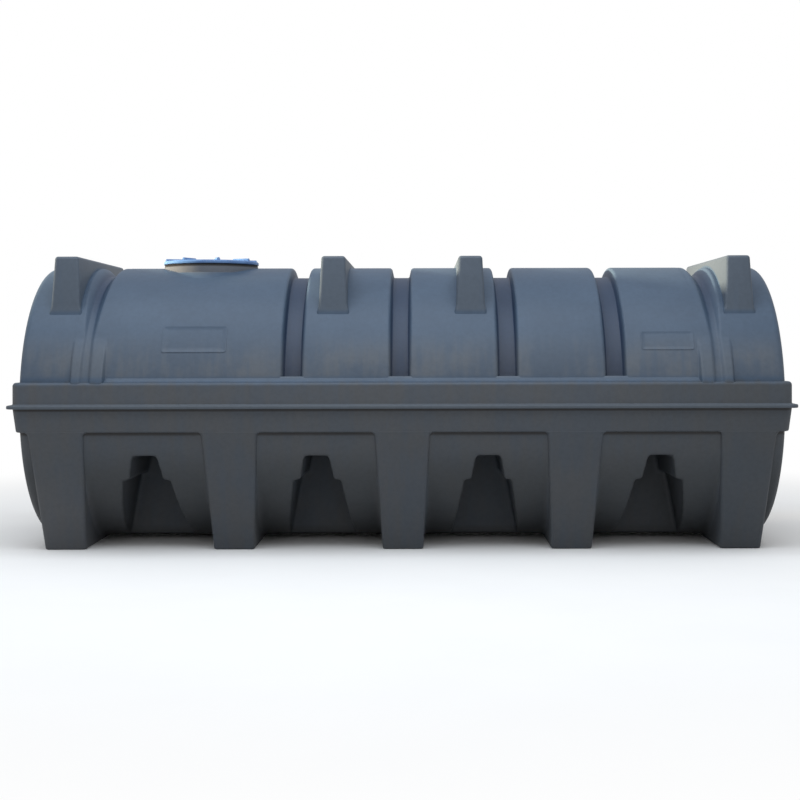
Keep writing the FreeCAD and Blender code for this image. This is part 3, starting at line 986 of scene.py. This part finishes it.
# Painted shade: the belly below the belt, between the legs, is darkened.
belly = (1 - proud) * below_belt * from_axis.ramp(RADIUS - 0.06, RADIUS - 0.02)
belly_shaded = (belly * 0.8).blend(toned, BELLY_SHADE)
settling = above_belt * (1 - height.ramp(BELT_TOP + 0.10, BELT_TOP + 0.34))
patches = 0.35 + 0.65 * (mottle * 0.7 + streak * 0.5).ramp(0.48, 0.75)
dusty = (settling * patches * (0.8 - 0.6 * proud)).blend(belly_shaded, EARTH)
damp = (along.ramp(0.7, 2.3) * low * 0.4).blend(dusty, DAMP)
splashed = (1 - along.ramp(-2.3, -1.4)) * (1 - height.ramp(0.20, 0.50))
dried = (splashed * 0.4).blend(damp, SPLASHED)
rail = height.ramp(FLANGE_BOTTOM, FLANGE_BOTTOM + 0.003) * (1 - height.ramp(FLANGE_TOP, FLANGE_TOP + 0.004))
railed = (rail * 0.7).blend(dried, RAIL)


def shadow_line_under(level, depth):
    """A soft painted shadow line, so deep, just under a ledge at this height."""
    return height.ramp(level - depth, level - depth / 3) * (1 - height.ramp(level - 0.003, level))


# Painted shadow: dark lines under the flange and under the belt, where they overhang.
under_flange = shadow_line_under(FLANGE_BOTTOM, 0.021) * 0.9
under_belt = shadow_line_under(BELT_BOTTOM, 0.028) * (1 - proud) * 0.85
ledge_shadowed = (under_flange + under_belt).blend(railed, SHADOWED)
streaks = (streak.ramp(0.56, 0.78) * above_belt * 0.25).blend(ledge_shadowed, PALE)
from_neck = distance_from(place, (1, 1, 0), (-hatch.x, 0, 0))
on_neck = (1 - from_neck.ramp(SHOULDER + 0.001, SHOULDER + 0.006)) * above_belt
necked = (on_neck * 0.8).blend(streaks, NECK_DUST)
# Painted shadow: a dark line at the top of the neck, under the lid.
shadow_under_lid = on_neck * height.ramp(SHOULDER_TOP - 0.011, SHOULDER_TOP - 0.005)
shaded = (shadow_under_lid * 0.85).blend(necked, SHADOWED)
# Painted shade and painted sky reflection: the groove and channel floors below the barrel's skin are darker and
# bluer.
sunk = (1 - from_axis.ramp(RADIUS - 0.050, RADIUS - 0.008)) * above_belt
groove_shaded = (sunk * 0.55).blend(shaded, GROOVE_SHADE)
shade = place.out(place.node("ShaderNodeMix", {"data_type": "RGBA", "blend_type": "MULTIPLY"}, i0=0.25,
                             i6=groove_shaded, i7=grain.ramp(0.2, 0.7).blend(GRAIN_DARK, WHITE)), 2)
shade.feed(shader.inputs["Base Color"])
rough = 0.42 + 0.14 * mottle + 0.10 * low
rough.feed(shader.inputs["Roughness"])
skin = place.noise(place, 160.0, 2.0) * 0.25 + place.noise(place, 3.0, 2.0) * 3.0
bump(place, skin, 0.35, 0.002).feed(shader.inputs["Normal"])
shader.inputs["Specular IOR Level"].default_value = 0.4
print("slate plastic", len(slate.node_tree.nodes), "nodes")

# %% [markdown]
# ## Lid and seal
# The lid is a brighter blue plastic, sun-bleached in soft clouds, with specks of dust and painted shade along its
# lower edge. The seal is black rubber, almost without gloss. One plain colour each would do from afar, but the lid is
# the one bright thing on the tank and draws the eye, so it gets clouds and specks of its own.

# %% Blue lid and rubber seal
BLUE = (0.074, 0.166, 0.372, 1)
BLEACHED = (0.110, 0.222, 0.448, 1)
LID_DUST = (0.42, 0.46, 0.52, 1)
LID_EDGE_SHADE = (0.020, 0.040, 0.085, 1)
RUBBER = (0.010, 0.010, 0.012, 1)
SCUFFED = (0.028, 0.028, 0.030, 1)

blue, shader, place = finish_tree("blue_lid_plastic")
cloud = place.noise(place, 9.0, 4.0)
speck = place.noise(place, 90.0, 3.0)
bleached = cloud.ramp(0.35, 0.75).blend(BLUE, BLEACHED)
dust = speck.ramp(0.58, 0.80) * 0.35
dusted = dust.blend(bleached, LID_DUST)
height = place.out(place.node("ShaderNodeSeparateXYZ", None, Vector=place), "Z")
# Painted shade: the lid's lower edge is darkened.
lid_edge_shade_mask = 1 - height.ramp(skirt_low.z + 0.001, skirt_low.z + 0.007)
(lid_edge_shade_mask * 0.75).blend(dusted, LID_EDGE_SHADE).feed(shader.inputs["Base Color"])
(0.34 + 0.22 * cloud).feed(shader.inputs["Roughness"])
bump(place, place.noise(place, 220.0, 2.0), 0.25, 0.001).feed(shader.inputs["Normal"])

rubber, shader, place = finish_tree("seal_rubber")
dull = place.noise(place, 60.0, 4.0)
dull.blend(RUBBER, SCUFFED).feed(shader.inputs["Base Color"])
(0.62 + 0.2 * dull).feed(shader.inputs["Roughness"])

finishes = {"screw_lid": blue, "seal_ring": rubber}


def dress(piece, finish):
    piece.data.materials.clear()
    piece.data.materials.append(finish)


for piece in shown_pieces():
    dress(piece, finishes.get(piece.name, blue if piece.name.startswith("lid_grip") else slate))

# %% [markdown]
# ## Floor and light
# A pale floor fades into a white room. Diffuse light sees a greyer floor than the camera does, so that the belly
# stays dark between the legs, and the floor keeps the tank's shadow. A broad soft box hangs overhead towards the
# viewer, and a warm, narrow one stands off to the left, just behind the tank's middle line, and lights the left
# sides of the lugs. A sun lamp would be simpler, but the tank lies in soft, even light.

# %% Floor
FLOOR_SIZE = 80.0
FLOOR_DROP = 0.001
FLOOR_SEEN = (0.93, 0.93, 0.93, 1)
FLOOR_PALE = (0.97, 0.97, 0.97, 1)
FLOOR_DIM = (0.49, 0.49, 0.49, 1)
FADE_START = 3.2
FADE_END = 6.0
clear()
bpy.ops.mesh.primitive_plane_add(size=FLOOR_SIZE, location=(0, 0, -FLOOR_DROP))
floor = bpy.context.object
floor.name = "floor"
pale, shader, place = finish_tree("pale_floor")
path = place.node("ShaderNodeLightPath")
seen = place.maths("MAXIMUM", place.out(path, "Is Glossy Ray"), place.out(path, "Is Camera Ray"))
ground = place.noise(place, 1.5, 3.0).blend(FLOOR_SEEN, FLOOR_PALE)
seen.blend(FLOOR_DIM, ground).feed(shader.inputs["Base Color"])
shader.inputs["Roughness"].default_value = 0.95
shader.inputs["Specular IOR Level"].default_value = 0.0
reach = place.out(place.node("ShaderNodeVectorMath", {"operation": "LENGTH"}, Vector=place), "Value")
white = place.node("ShaderNodeEmission", None, Color=WHITE, Strength=1.0)
mixed = place.node("ShaderNodeMixShader", None, Fac=reach.ramp(FADE_START, FADE_END) * seen,
                   i1=place.out(shader), i2=place.out(white))
place.out(mixed).feed(pale.node_tree.nodes["Material Output"].inputs["Surface"])
dress(floor, pale)
print("floor", len(pale.node_tree.nodes), "nodes")

# %% Room and lamps
ROOM_LIGHT = 0.64
scene.view_settings.view_transform = "Standard"
world = bpy.data.worlds.new("white_room")
scene.world = world
world.use_nodes = True
back = world.node_tree.nodes["Background"]
room = Value(world.node_tree, None)
camera_ray = room.out(room.node("ShaderNodeLightPath"), "Is Camera Ray")
(camera_ray * (1 - ROOM_LIGHT) + ROOM_LIGHT).feed(back.inputs["Strength"])
back.inputs["Color"].default_value = WHITE


def lamp(name, place, target, size, power, colour):
    data = bpy.data.lights.new(name, "AREA")
    data.shape = "RECTANGLE"
    data.size, data.size_y = size
    data.energy = power
    data.color = colour
    made = bpy.data.objects.new(name, data)
    made.location = place
    made.rotation_euler = (Vector(target) - Vector(place)).to_track_quat("-Z", "Y").to_euler()
    scene.collection.objects.link(made)
    return made


RIM_SPREAD = math.radians(18)
lamp("overhead", place=(-0.5, -2.5, 6.5), target=(0, 0.2, 0.9), size=(8.0, 5.0), power=300, colour=(0.86, 0.93, 1.0))
rim = lamp("rim_left", place=(-8.5, 0.8, 3.0), target=(0.6, 0, 1.85), size=(1.6, 0.5), power=58,
           colour=(1.0, 0.80, 0.52))
rim.data.spread = RIM_SPREAD
rim.visible_glossy = False
